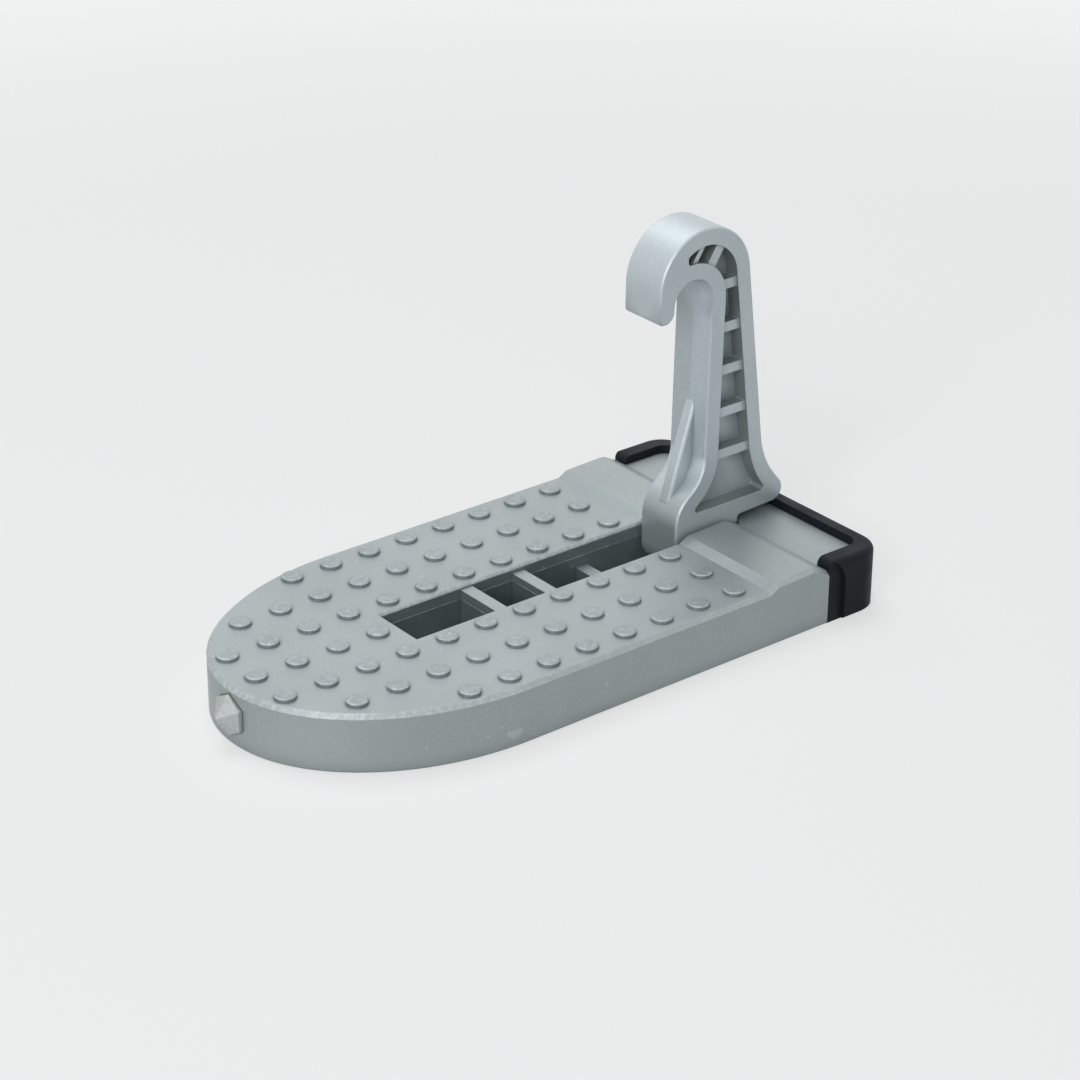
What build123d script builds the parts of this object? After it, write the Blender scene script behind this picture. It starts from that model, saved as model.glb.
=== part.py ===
from build123d import *
import math
import os

# A folding door latch step: a cast tread platform with a hinged hook arm.
# Millimetres. X runs from the nose to the rear buffer, Y across, Z up from the underside.

# Plan of the platform casting
HALF_WIDTH = 36.9
NOSE_X = -72.4
NOSE_LENGTH = 48.75
SIDE_END_X = 59.55
TONGUE_END_X = 72.15
TONGUE_HALF_WIDTH = 32.7
TONGUE_CORNER = 3.0

# Heights of the platform's top
TREAD_Z = 13.4
PAD_FRONT_Z = 14.7
PAD_REAR_Z = 15.05
RECESS_Z = 12.9
RAMP_X = 42.05
RAMP_LENGTH = 2.3
PAD_END_X = 55.4
PAD_END_RADIUS = 3.0
RIM_CHAMFER = 0.95
FOOT_CHAMFER = 0.45

# Raised studs of the tread
STUD_DIAMETER = 4.8
STUD_SIDES = 16
STUD_HEIGHT = 0.9
STUD_EDGE = 0.25
STUD_PITCH_X = 10.2
STUD_PITCH_Y = 10.6
FIRST_STUD_X = -65.85
STUD_MARGIN = 0.6

# Slot for the arm and the bars that cross it
SLOT_FRONT_X = -30.05
SLOT_EDGE = 0.4
ARM_SIDE_CLEARANCE = 0.8
FOOT_END_CLEARANCE = 0.45
FRONT_BAR_X = -7.0
FRONT_BAR_Z = 12.4
MIDDLE_BAR_X = 7.2
MIDDLE_BAR_Z = 11.9
LOW_BAR_X = 25.2
LOW_BAR_Z = 7.6
BAR = 3.1
STOP_BAR = 2.4
STOP_BAR_SETBACK = 0.6
STOP_BAR_Z = 4.1

# Hollow underside
WALL = 3.0
DECK = 3.2
SLOT_WALL = 2.8
RIB = 2.0
RIB_SPACING = 16.0
LONG_RIB_Y = 21.8
NOSE_BLOCK_LENGTH = 15.0
NOSE_BLOCK_HALF_WIDTH = 8.5
BOSS_RADIUS = 4.3
BOSS_LENGTH = 4.0

# Hinge
PIVOT_X = 47.75
PIVOT_Z = 9.9
PIN_DIAMETER = 4.0
PIN_CLEARANCE = 0.05
PRESS_CLEARANCE = 0.02
PIN_CHAMFER = 0.4

# Profile of the hook arm
ARM_HALF_WIDTH = 5.95
FOOT_FRONT_X = 41.75
FOOT_REAR_X = 60.3
FOOT_DEPTH = 6.2
FOOT_TOE_RADIUS = 5.9
FOOT_BELLY_X = 55.6
FOOT_BELLY_RADIUS = 4.0
FOOT_HEEL_Z = 9.2
FOOT_HEEL_RADIUS = 2.0
SHOULDER_Z = 20.3
SHOULDER_RADIUS = 8.5
SHANK_FRONT_X = 49.65
SHANK_ROOT_Z = 27.0
SHANK_ROOT_RADIUS = 9.0
FRONT_LEAN = 1.15
THROAT_Z = 69.4
THROAT_RADIUS = 5.25
TIP_Z = 66.4
TIP_INNER_RADIUS = 2.4
TIP_OUTER_RADIUS = 1.0
CURL_X = 48.6
CURL_Z = 73.1
CURL_RADIUS = 12.85
BACK_LEAN = 7.2
BACK_BEND_Z = 26.3
BACK_BEND_RADIUS = 20.0
HEEL_SLOPE = 50.7
HEEL_Z = 14.5
HEEL_LEAN = 2.2
HEEL_RADIUS = 2.9
HEEL_ROOT_RADIUS = 0.9
ARM_EDGE = 0.35

# Pockets, rungs and front rib of the arm
FLANGE = 3.9
WEB = 4.2
RUNG = 2.3
RUNG_PITCH = 10.15
RUNG_COUNT = 5
LOWEST_RUNG_Z = 30.9
RUNG_DROP = 0.7
CURL_RUNG_X = 52.0
CURL_RUNG_Z = 79.1
CURL_RUNG_ANGLE = 57.0
THIN_RUNG = 1.1
THIN_RUNG_SETBACK = 4.8
POCKET_TIP_X = 43.4
POCKET_FLOOR_Z = 18.75
POCKET_CORNER = 0.8
FRONT_RIB = 3.2
FRONT_RIB_FOOT_Z = 20.8
FRONT_RIB_FOOT_X = 42.85
FRONT_RIB_TOP_Z = 43.8
FRONT_RIB_EDGE = 0.8

# Rubber buffer at the rear
BUFFER_REAR = 3.8
BUFFER_SIDE = 4.8
BUFFER_TOP_Z = 14.9
BUFFER_CORNER = 6.5
BUFFER_TOP_EDGE = 1.6
BUFFER_FOOT_EDGE = 0.5
BUFFER_GAP = 0.1
BUFFER_LIP = 4.4
BUFFER_LIP_DROP = 0.9
BUFFER_LIP_Z = 8.5
BUFFER_LIP_TOP = 1.2
KEY = 1.4
KEY_LOW_Z = 4.5
KEY_HIGH_Z = 7.5
KEY_CLEARANCE = 0.1

# Steel glass breaker in the nose
BREAKER_RADIUS = 4.75
BREAKER_Z = 7.1
BREAKER_COLLAR = 0.65
BREAKER_POINT = 2.9
BREAKER_BLUNT = 0.3
BREAKER_SHANK = 9.0
BREAKER_CLEARANCE = 0.12

# Limits used when edges are picked out: closeness in millimetres, and an upright direction
NEAR = 0.01
UPRIGHT = 0.9

# Sizes that follow from those above
ARCH_X = NOSE_X + NOSE_LENGTH
SLOT_HALF_WIDTH = ARM_HALF_WIDTH + ARM_SIDE_CLEARANCE
SLOT_END_X = FOOT_REAR_X + FOOT_END_CLEARANCE
STUD_RADIUS = STUD_DIAMETER / 2
CAVITY_Z = TREAD_Z - DECK
SLOT_WALL_Y = SLOT_HALF_WIDTH + SLOT_WALL
FOOT_Z = PIVOT_Z - FOOT_DEPTH
PIN_RADIUS = PIN_DIAMETER / 2
PIN_HALF_LENGTH = SLOT_HALF_WIDTH + BOSS_LENGTH
BREAKER_DRAW_IN = (BREAKER_RADIUS - BREAKER_BLUNT) * math.cos(math.pi / 6)
BREAKER_TIP_X = NOSE_X - BREAKER_COLLAR - BREAKER_POINT
BUFFER_FRONT_X = SIDE_END_X + BUFFER_GAP
BUFFER_END_X = TONGUE_END_X + BUFFER_REAR
BUFFER_HALF_WIDTH = TONGUE_HALF_WIDTH + BUFFER_SIDE
ABOVE = 2 * PAD_REAR_Z
STOP_BAR_X = FOOT_FRONT_X - STOP_BAR_SETBACK - STOP_BAR / 2
SLOT_BARS = (
    (FRONT_BAR_X, BAR, FRONT_BAR_Z),
    (MIDDLE_BAR_X, BAR, MIDDLE_BAR_Z),
    (LOW_BAR_X, BAR, LOW_BAR_Z),
    (STOP_BAR_X, STOP_BAR, STOP_BAR_Z),
)
CROSS_RIBS = (
    SLOT_FRONT_X - SLOT_WALL / 2 - RIB_SPACING,
    SLOT_FRONT_X - SLOT_WALL / 2,
    (SLOT_FRONT_X + FRONT_BAR_X) / 2,
    FRONT_BAR_X,
    MIDDLE_BAR_X,
    LOW_BAR_X,
    STOP_BAR_X,
)


def plan_half_width(x):
    """Half width of the platform's plan at a place along its length."""
    if x >= ARCH_X:
        return HALF_WIDTH
    share = (ARCH_X - x) / NOSE_LENGTH
    return HALF_WIDTH * math.sqrt(max(0.0, 1 - share * share))


def stud_places():
    """Centres of the studs that have room on the tread."""
    reach = STUD_RADIUS + STUD_MARGIN
    columns = int((RAMP_X - reach - FIRST_STUD_X) / STUD_PITCH_X) + 1
    rows = int(HALF_WIDTH / STUD_PITCH_Y)
    places = []
    for column in range(columns):
        x = FIRST_STUD_X + column * STUD_PITCH_X
        for row in range(-rows, rows + 1):
            y = row * STUD_PITCH_Y
            on_tread = abs(y) + reach + RIM_CHAMFER <= plan_half_width(x)
            off_slot = x + reach <= SLOT_FRONT_X or abs(y) - reach >= SLOT_HALF_WIDTH
            if on_tread and off_slot:
                places.append((x, y))
    return places


def front_x(z):
    """Front face of the arm's shank, which leans back a little."""
    return SHANK_FRONT_X + (z - SHANK_ROOT_Z) * math.tan(math.radians(FRONT_LEAN))


def plan_sketch(inset):
    """Plan of the platform's arched sides, drawn in by an inset."""
    with BuildSketch() as plan:
        with Locations((ARCH_X, 0)):
            Ellipse(NOSE_LENGTH - inset, HALF_WIDTH - inset)
            Rectangle(
                SIDE_END_X - ARCH_X - inset,
                2 * (HALF_WIDTH - inset),
                align=(Align.MIN, Align.CENTER),
            )
    return plan.sketch


def tongue_sketch(inset, corner):
    """Plan of the narrower rear end that the buffer wraps."""
    with BuildSketch() as tongue:
        with Locations((SIDE_END_X - WALL, 0)):
            Rectangle(
                TONGUE_END_X - SIDE_END_X + WALL - inset,
                2 * (TONGUE_HALF_WIDTH - inset),
                align=(Align.MIN, Align.CENTER),
            )
        fillet(tongue.vertices().group_by(Axis.X)[-1], radius=corner)
    return tongue.sketch


def is_rim(edge):
    """Edges round the top of the tread, the ramp and the pad."""
    middle = edge @ 0.5
    along = edge % 0.5
    outside = abs(middle.Y) > HALF_WIDTH - NEAR or middle.X < ARCH_X - NEAR
    return outside and middle.Z > RECESS_Z + NEAR and abs(along.Z) < UPRIGHT


def is_mouth(edge):
    """Edges of the slot's mouth on the tread, the ramp and the pad."""
    middle = edge @ 0.5
    beside = abs(abs(middle.Y) - SLOT_HALF_WIDTH) < NEAR
    before = abs(middle.X - SLOT_FRONT_X) < NEAR
    level = abs((edge % 0.5).Z) < UPRIGHT
    return (beside or before) and level and middle.Z > RECESS_Z + NEAR


def arm_outline():
    """Outline of the arm, from the foot in the slot to the tip of the curl."""
    curl_front_x = CURL_X - CURL_RADIUS
    throat_back_x = front_x(THROAT_Z)
    throat_front_x = throat_back_x - 2 * THROAT_RADIUS
    lean = math.radians(BACK_LEAN)
    curl_end_x = CURL_X + CURL_RADIUS * math.cos(lean)
    curl_end_z = CURL_Z + CURL_RADIUS * math.sin(lean)
    bend_x = curl_end_x + (curl_end_z - BACK_BEND_Z) * math.tan(lean)
    slope = math.tan(math.radians(HEEL_SLOPE))
    rise = math.tan(math.radians(HEEL_LEAN))
    heel_x = (BACK_BEND_Z - HEEL_Z + slope * bend_x + rise * FOOT_REAR_X) / (slope + rise)
    heel_z = HEEL_Z + rise * (heel_x - FOOT_REAR_X)
    tip_outer = (curl_front_x, TIP_Z)
    tip_inner = (throat_front_x, TIP_Z)
    bend = (bend_x, BACK_BEND_Z)
    heel = (heel_x, heel_z)
    heel_root = (FOOT_REAR_X, HEEL_Z)
    foot_heel = (FOOT_REAR_X, FOOT_HEEL_Z)
    foot_belly = (FOOT_BELLY_X, FOOT_Z)
    foot_toe = (FOOT_FRONT_X, FOOT_Z)
    shoulder = (FOOT_FRONT_X, SHOULDER_Z)
    shank_root = (SHANK_FRONT_X, SHANK_ROOT_Z)
    with BuildSketch() as outline:
        with BuildLine():
            Line(tip_outer, (curl_front_x, CURL_Z))
            ThreePointArc(
                (curl_front_x, CURL_Z),
                (CURL_X, CURL_Z + CURL_RADIUS),
                (curl_end_x, curl_end_z),
            )
            Polyline(
                (curl_end_x, curl_end_z),
                bend,
                heel,
                heel_root,
                foot_heel,
                foot_belly,
                foot_toe,
                shoulder,
                shank_root,
                (throat_back_x, THROAT_Z),
            )
            ThreePointArc(
                (throat_back_x, THROAT_Z),
                (throat_back_x - THROAT_RADIUS, THROAT_Z + THROAT_RADIUS),
                (throat_front_x, THROAT_Z),
            )
            Polyline((throat_front_x, THROAT_Z), tip_inner, tip_outer)
        make_face()
        rounded = (
            (tip_outer, TIP_OUTER_RADIUS),
            (tip_inner, TIP_INNER_RADIUS),
            (bend, BACK_BEND_RADIUS),
            (heel, HEEL_RADIUS),
            (heel_root, HEEL_ROOT_RADIUS),
            (foot_heel, FOOT_HEEL_RADIUS),
            (foot_belly, FOOT_BELLY_RADIUS),
            (foot_toe, FOOT_TOE_RADIUS),
            (shoulder, SHOULDER_RADIUS),
            (shank_root, SHANK_ROOT_RADIUS),
        )
        for corner, radius in rounded:
            fillet(outline.vertices().sort_by_distance((*corner, 0))[0], radius=radius)
    return outline.sketch


def arm_pocket(outline):
    """Pocket of the arm: its outline drawn in by the flange, above the foot."""
    with BuildSketch() as pocket:
        add(outline)
        offset(amount=-FLANGE)
        with Locations((POCKET_TIP_X, POCKET_FLOOR_Z)):
            Rectangle(
                CURL_RADIUS * 3,
                CURL_Z + CURL_RADIUS - POCKET_FLOOR_Z,
                align=(Align.MIN, Align.MIN),
                mode=Mode.INTERSECT,
            )
        offset(amount=-POCKET_CORNER)
        offset(amount=POCKET_CORNER)
    return pocket.sketch


def arm_rungs(pocket):
    """Level rungs of the shank and slanted rungs of the curl, cut to the pocket."""
    with BuildSketch() as rungs:
        for count in range(RUNG_COUNT):
            with Locations((PIVOT_X, LOWEST_RUNG_Z + count * RUNG_PITCH)):
                Rectangle(4 * CURL_RADIUS, RUNG)
        with Locations(Location((CURL_RUNG_X, CURL_RUNG_Z), CURL_RUNG_ANGLE)):
            Rectangle(CURL_RADIUS, RUNG)
            with Locations((0, THIN_RUNG_SETBACK)):
                Rectangle(CURL_RADIUS, THIN_RUNG)
        add(pocket, mode=Mode.INTERSECT)
    return rungs.sketch


os.makedirs("parts", exist_ok=True)

# Platform casting
with BuildPart() as platform:
    with BuildSketch():
        add(plan_sketch(0))
        add(tongue_sketch(0, TONGUE_CORNER))
    extrude(amount=PAD_REAR_Z + STUD_HEIGHT)

    # ramp, raised pad over the hinge and recess for the buffer
    with BuildSketch(Plane.XZ):
        with BuildLine():
            Polyline(
                (NOSE_X - WALL, TREAD_Z),
                (RAMP_X, TREAD_Z),
                (RAMP_X + RAMP_LENGTH, PAD_FRONT_Z),
                (PAD_END_X, PAD_REAR_Z),
                (SIDE_END_X, RECESS_Z),
                (TONGUE_END_X + WALL, RECESS_Z),
                (TONGUE_END_X + WALL, ABOVE),
                (NOSE_X - WALL, ABOVE),
                close=True,
            )
        make_face()
    extrude(amount=2 * HALF_WIDTH, both=True, mode=Mode.SUBTRACT)
    pad_end = platform.edges().filter_by(Axis.Y).sort_by_distance((PAD_END_X, 0, PAD_REAR_Z))[0]
    fillet(pad_end, radius=PAD_END_RADIUS)
    rim = platform.edges().filter_by(lambda edge: is_rim(edge))
    chamfer(rim, length=RIM_CHAMFER)
    foot = platform.edges().filter_by(lambda edge: (edge @ 0.5).Z < NEAR)
    chamfer(foot, length=FOOT_CHAMFER)

    # slot for the arm, and the bars and the stop that cross it
    with BuildSketch():
        with Locations((SLOT_FRONT_X, 0)):
            Rectangle(
                SLOT_END_X - SLOT_FRONT_X,
                2 * SLOT_HALF_WIDTH,
                align=(Align.MIN, Align.CENTER),
            )
    extrude(amount=ABOVE, mode=Mode.SUBTRACT)
    mouth = platform.edges().filter_by(lambda edge: is_mouth(edge))
    chamfer(mouth, length=SLOT_EDGE)
    for bar_x, bar_width, bar_z in SLOT_BARS:
        with BuildSketch():
            with Locations((bar_x, 0)):
                Rectangle(bar_width, 2 * SLOT_WALL_Y)
        extrude(amount=bar_z)

    # hollow underside, with cross ribs, two long ribs and a block behind the nose
    with BuildSketch() as hollow:
        add(plan_sketch(WALL))
        add(tongue_sketch(WALL, TONGUE_CORNER / 2))
        with Locations((SLOT_FRONT_X - SLOT_WALL, 0)):
            Rectangle(
                SLOT_END_X - SLOT_FRONT_X + 2 * SLOT_WALL,
                2 * SLOT_WALL_Y,
                align=(Align.MIN, Align.CENTER),
                mode=Mode.SUBTRACT,
            )
        with Locations((NOSE_X, 0)):
            Rectangle(
                NOSE_BLOCK_LENGTH,
                2 * NOSE_BLOCK_HALF_WIDTH,
                align=(Align.MIN, Align.CENTER),
                mode=Mode.SUBTRACT,
            )
        for rib_x in CROSS_RIBS:
            with Locations((rib_x, 0)):
                Rectangle(RIB, 2 * HALF_WIDTH, mode=Mode.SUBTRACT)
        with Locations((STOP_BAR_X, LONG_RIB_Y), (STOP_BAR_X, -LONG_RIB_Y)):
            Rectangle(
                STOP_BAR_X - NOSE_X,
                RIB,
                align=(Align.MAX, Align.CENTER),
                mode=Mode.SUBTRACT,
            )
    extrude(amount=CAVITY_Z, mode=Mode.SUBTRACT)

    # bosses on the slot's walls, and the bore for the hinge pin
    for side in (1, -1):
        with BuildSketch(Plane.XZ.offset(side * SLOT_HALF_WIDTH)):
            with Locations((PIVOT_X, PIVOT_Z)):
                Circle(BOSS_RADIUS)
        extrude(amount=side * BOSS_LENGTH)
    with BuildSketch(Plane.XZ):
        with Locations((PIVOT_X, PIVOT_Z)):
            Circle(PIN_RADIUS + PRESS_CLEARANCE)
    extrude(amount=PIN_HALF_LENGTH, both=True, mode=Mode.SUBTRACT)

    # socket for the glass breaker
    with BuildSketch(Plane.YZ.offset(NOSE_X - BREAKER_COLLAR)):
        with Locations((0, BREAKER_Z)):
            RegularPolygon(BREAKER_RADIUS + BREAKER_CLEARANCE, 6, rotation=30)
    extrude(amount=BREAKER_COLLAR + BREAKER_SHANK, mode=Mode.SUBTRACT)

    # key round the tongue that holds the buffer
    with BuildSketch(Plane.XY.offset(KEY_LOW_Z)):
        add(tongue_sketch(-KEY, TONGUE_CORNER + KEY))
        add(tongue_sketch(WALL, TONGUE_CORNER / 2), mode=Mode.SUBTRACT)
    extrude(amount=KEY_HIGH_Z - KEY_LOW_Z)

    # studs of the tread
    with BuildSketch(Plane.XY.offset(TREAD_Z)):
        with Locations(stud_places()):
            RegularPolygon(STUD_RADIUS, STUD_SIDES)
    extrude(amount=STUD_HEIGHT)
    stud_rims = platform.faces().filter_by(Axis.Z).sort_by(Axis.Z)[-len(stud_places()):].edges()
    chamfer(stud_rims, length=STUD_EDGE)

platform.part.label = "platform"
export_step(platform.part, "parts/platform.step")


# Hook arm casting
profile = arm_outline()
pocket = arm_pocket(profile)
with BuildPart() as hook_arm:
    with BuildSketch(Plane.XZ):
        add(profile)
    extrude(amount=ARM_HALF_WIDTH, both=True)
    side_rims = hook_arm.faces().filter_by(Axis.Y).edges()
    chamfer(side_rims, length=ARM_EDGE)

    # pockets on both sides of a middle web, with rungs across them
    with BuildSketch(Plane.XZ):
        add(pocket)
    extrude(amount=ARM_HALF_WIDTH, both=True, mode=Mode.SUBTRACT)
    with BuildSketch(Plane.XZ):
        add(pocket)
    extrude(amount=WEB / 2, both=True)
    with BuildSketch(Plane.XZ):
        add(arm_rungs(pocket))
    extrude(amount=ARM_HALF_WIDTH - RUNG_DROP, both=True)

    # rib down the front of the shank
    with BuildSketch(Plane.XZ):
        with BuildLine():
            Polyline(
                (FRONT_RIB_FOOT_X, FRONT_RIB_FOOT_Z),
                (front_x(FRONT_RIB_TOP_Z), FRONT_RIB_TOP_Z),
                (front_x(FRONT_RIB_TOP_Z) + FLANGE / 2, FRONT_RIB_TOP_Z),
                (front_x(SHANK_ROOT_Z) + FLANGE / 2, FRONT_RIB_FOOT_Z),
                close=True,
            )
        make_face()
    extrude(amount=FRONT_RIB / 2, both=True)
    crest_x = (FRONT_RIB_FOOT_X + front_x(FRONT_RIB_TOP_Z)) / 2
    crest_z = (FRONT_RIB_FOOT_Z + FRONT_RIB_TOP_Z) / 2
    for side in (1, -1):
        crest = hook_arm.edges().sort_by_distance((crest_x, side * FRONT_RIB / 2, crest_z))[0]
        fillet(crest, radius=FRONT_RIB_EDGE)

    # bore for the hinge pin
    with BuildSketch(Plane.XZ):
        with Locations((PIVOT_X, PIVOT_Z)):
            Circle(PIN_RADIUS + PIN_CLEARANCE)
    extrude(amount=ARM_HALF_WIDTH, both=True, mode=Mode.SUBTRACT)

hook_arm.part.label = "hook_arm"
export_step(hook_arm.part, "parts/hook_arm.step")


# Steel hinge pin, pressed into the bosses
with BuildPart() as hinge_pin:
    with BuildSketch(Plane.XZ):
        with Locations((PIVOT_X, PIVOT_Z)):
            Circle(PIN_RADIUS)
    extrude(amount=PIN_HALF_LENGTH, both=True)
    chamfer(hinge_pin.faces().filter_by(Axis.Y).edges(), length=PIN_CHAMFER)

hinge_pin.part.label = "hinge_pin"
export_step(hinge_pin.part, "parts/hinge_pin.step")


# Hardened glass breaker: a hexagon shank with a blunt pyramid
with BuildPart() as glass_breaker:
    with BuildSketch(Plane.YZ.offset(BREAKER_TIP_X)):
        with Locations((0, BREAKER_Z)):
            RegularPolygon(BREAKER_RADIUS, 6, rotation=30)
    extrude(amount=NOSE_X + BREAKER_SHANK - BREAKER_CLEARANCE - BREAKER_TIP_X)
    tip = glass_breaker.faces().sort_by(Axis.X)[0]
    chamfer(tip.edges(), length=BREAKER_DRAW_IN, length2=BREAKER_POINT, reference=tip)

glass_breaker.part.label = "glass_breaker"
export_step(glass_breaker.part, "parts/glass_breaker.step")


# Rubber buffer, a strip that wraps the rear of the platform
with BuildPart() as rear_buffer:
    with BuildSketch() as wrap:
        with Locations((BUFFER_FRONT_X, 0)):
            Rectangle(
                BUFFER_END_X - BUFFER_FRONT_X,
                2 * BUFFER_HALF_WIDTH,
                align=(Align.MIN, Align.CENTER),
            )
        fillet(wrap.vertices().group_by(Axis.X)[-1], radius=BUFFER_CORNER)
    extrude(amount=BUFFER_TOP_Z)
    fillet(rear_buffer.faces().sort_by(Axis.Z)[-1].edges(), radius=BUFFER_TOP_EDGE)
    foot_rims = rear_buffer.faces().sort_by(Axis.Z)[0].edges()
    foot_rims = foot_rims.filter_by(lambda edge: (edge @ 0.5).X > BUFFER_FRONT_X + NEAR)
    chamfer(foot_rims, length=BUFFER_FOOT_EDGE)
    with BuildSketch():
        add(tongue_sketch(-BUFFER_GAP, TONGUE_CORNER))
    extrude(amount=BUFFER_TOP_Z, mode=Mode.SUBTRACT)
    with BuildSketch(Plane.XY.offset(KEY_LOW_Z - KEY_CLEARANCE)):
        add(tongue_sketch(-KEY - KEY_CLEARANCE, TONGUE_CORNER + KEY))
    extrude(amount=KEY_HIGH_Z - KEY_LOW_Z + 2 * KEY_CLEARANCE, mode=Mode.SUBTRACT)

    # thinner front end of each leg, with a curved shoulder
    for side in (1, -1):
        with BuildSketch(Plane.XZ.offset(side * (BUFFER_HALF_WIDTH - BUFFER_LIP_DROP))):
            with BuildLine():
                TangentArc(
                    (BUFFER_FRONT_X + BUFFER_LIP, BUFFER_LIP_Z),
                    (BUFFER_FRONT_X + BUFFER_LIP_TOP, BUFFER_TOP_Z),
                    tangent=(0, 1),
                )
                Polyline(
                    (BUFFER_FRONT_X + BUFFER_LIP_TOP, BUFFER_TOP_Z),
                    (BUFFER_FRONT_X, BUFFER_TOP_Z),
                    (BUFFER_FRONT_X, 0),
                    (BUFFER_FRONT_X + BUFFER_LIP, 0),
                    (BUFFER_FRONT_X + BUFFER_LIP, BUFFER_LIP_Z),
                )
            make_face()
        extrude(amount=side * BUFFER_LIP_DROP, mode=Mode.SUBTRACT)

rear_buffer.part.label = "rear_buffer"
export_step(rear_buffer.part, "parts/rear_buffer.step")
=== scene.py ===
"""Car door latch step: finishes, floor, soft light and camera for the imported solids.

All lengths are metres, in the row frame: +X from the nose to the buffer, +Z up.
"""

import math
from types import SimpleNamespace

import bmesh
import bpy
from mathutils import Euler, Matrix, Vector

bl_info = {
    "name": "Car Door Latch Step",
    "version": (1, 0, 0),
    "blender": (4, 5, 0),
    "location": "3D View > Sidebar > Latch Step",
    "description": "Finishes a folding car door latch step and sets its studio stage",
    "category": "Object",
}

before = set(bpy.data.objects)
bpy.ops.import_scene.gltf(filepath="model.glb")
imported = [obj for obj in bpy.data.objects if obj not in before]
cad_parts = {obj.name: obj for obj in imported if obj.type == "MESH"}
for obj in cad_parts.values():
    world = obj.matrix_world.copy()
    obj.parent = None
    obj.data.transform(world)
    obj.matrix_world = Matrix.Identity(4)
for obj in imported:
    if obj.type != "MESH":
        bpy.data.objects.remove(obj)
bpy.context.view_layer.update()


# Settings a user would change


def colour_setting(name, description, default):
    """A colour in the panel."""
    return bpy.props.FloatVectorProperty(
        name=name,
        description=description,
        subtype="COLOR",
        size=3,
        min=0.0,
        max=1.0,
        default=default,
    )


def length_setting(name, description, default, least, largest):
    """A length in the panel."""
    return bpy.props.FloatProperty(
        name=name,
        description=description,
        subtype="DISTANCE",
        unit="LENGTH",
        min=least,
        max=largest,
        default=default,
    )


def share_setting(name, description, default):
    """A share from nothing to all in the panel."""
    return bpy.props.FloatProperty(
        name=name, description=description, subtype="FACTOR", min=0.0, max=1.0, default=default
    )


class CastingSettings(bpy.types.PropertyGroup):
    """Colours and grain of the two blasted castings, and the darker colours painted on them as
    shade.
    """

    platform_colour: colour_setting(
        "Platform colour", "Colour of the platform's blasted alloy", (0.435, 0.48, 0.487)
    )
    arm_colour: colour_setting(
        "Arm colour", "Colour of the hook arm's blasted alloy", (0.605, 0.67, 0.7)
    )
    # Painted shade: the platform skin and arm skin colours darken walls, hollows and faces as
    # shade.
    platform_shade_colour: colour_setting(
        "Platform skin",
        "Darker colour of the platform's cast skin, where the blasting barely reached",
        (0.174, 0.222, 0.228),
    )
    arm_shade_colour: colour_setting(
        "Arm skin",
        "Darker colour of the arm's cast skin, where the blasting barely reached",
        (0.262, 0.29, 0.292),
    )
    nick_colour: colour_setting(
        "Nick colour", "Colour of bare metal where an edge is rubbed or nicked", (0.76, 0.81, 0.82)
    )
    # Grime with painted shade: the dark colour laid in corners and round the studs' feet
    grime_and_shade_colour: colour_setting(
        "Grime colour", "Colour of what settles in corners and round the studs", (0.10, 0.12, 0.125)
    )
    grain_size: length_setting(
        "Grain size", "Width of one dimple of the blasted surface", 0.00042, 0.0001, 0.002
    )
    grain_depth: length_setting(
        "Grain depth", "Depth of the dimples of the blasted surface", 0.000014, 0.0, 0.0002
    )
    platform_edge: length_setting(
        "Platform edge", "Softness of the platform's edges and inner corners", 0.00009, 0.0, 0.001
    )
    arm_edge: length_setting(
        "Arm edge", "Softness of the hook arm's edges and inner corners", 0.00028, 0.0, 0.001
    )
    edge_line: length_setting(
        "Edge line", "Width of the rubbed line along outward edges", 0.0002, 0.0, 0.001
    )
    # How far grime and painted shade spread out of corners; the same reach tells open edges
    corner_reach: length_setting(
        "Corner reach", "How far grime reaches out of a corner", 0.0008, 0.0001, 0.01
    )
    # Painted shade: width of a hollow that is darkened as shade
    hollow_shade_reach: length_setting(
        "Hollow reach", "Width of a hollow that keeps its darker cast skin", 0.0045, 0.0001, 0.02
    )


class FittingSettings(bpy.types.PropertyGroup):
    """Colours of the rubber buffer and of the steel pieces."""

    rubber_colour: colour_setting(
        "Rubber colour", "Colour of the rear buffer", (0.008, 0.011, 0.015)
    )
    # Dust and a painted sheen make the rubber's upper faces greyer
    dust_and_sheen_colour: colour_setting(
        "Bloom colour", "Greyer colour of the rubber's upper faces", (0.010, 0.014, 0.02)
    )
    steel_colour: colour_setting(
        "Steel colour", "Colour of the glass breaker and the hinge pin", (0.47, 0.5, 0.49)
    )


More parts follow.
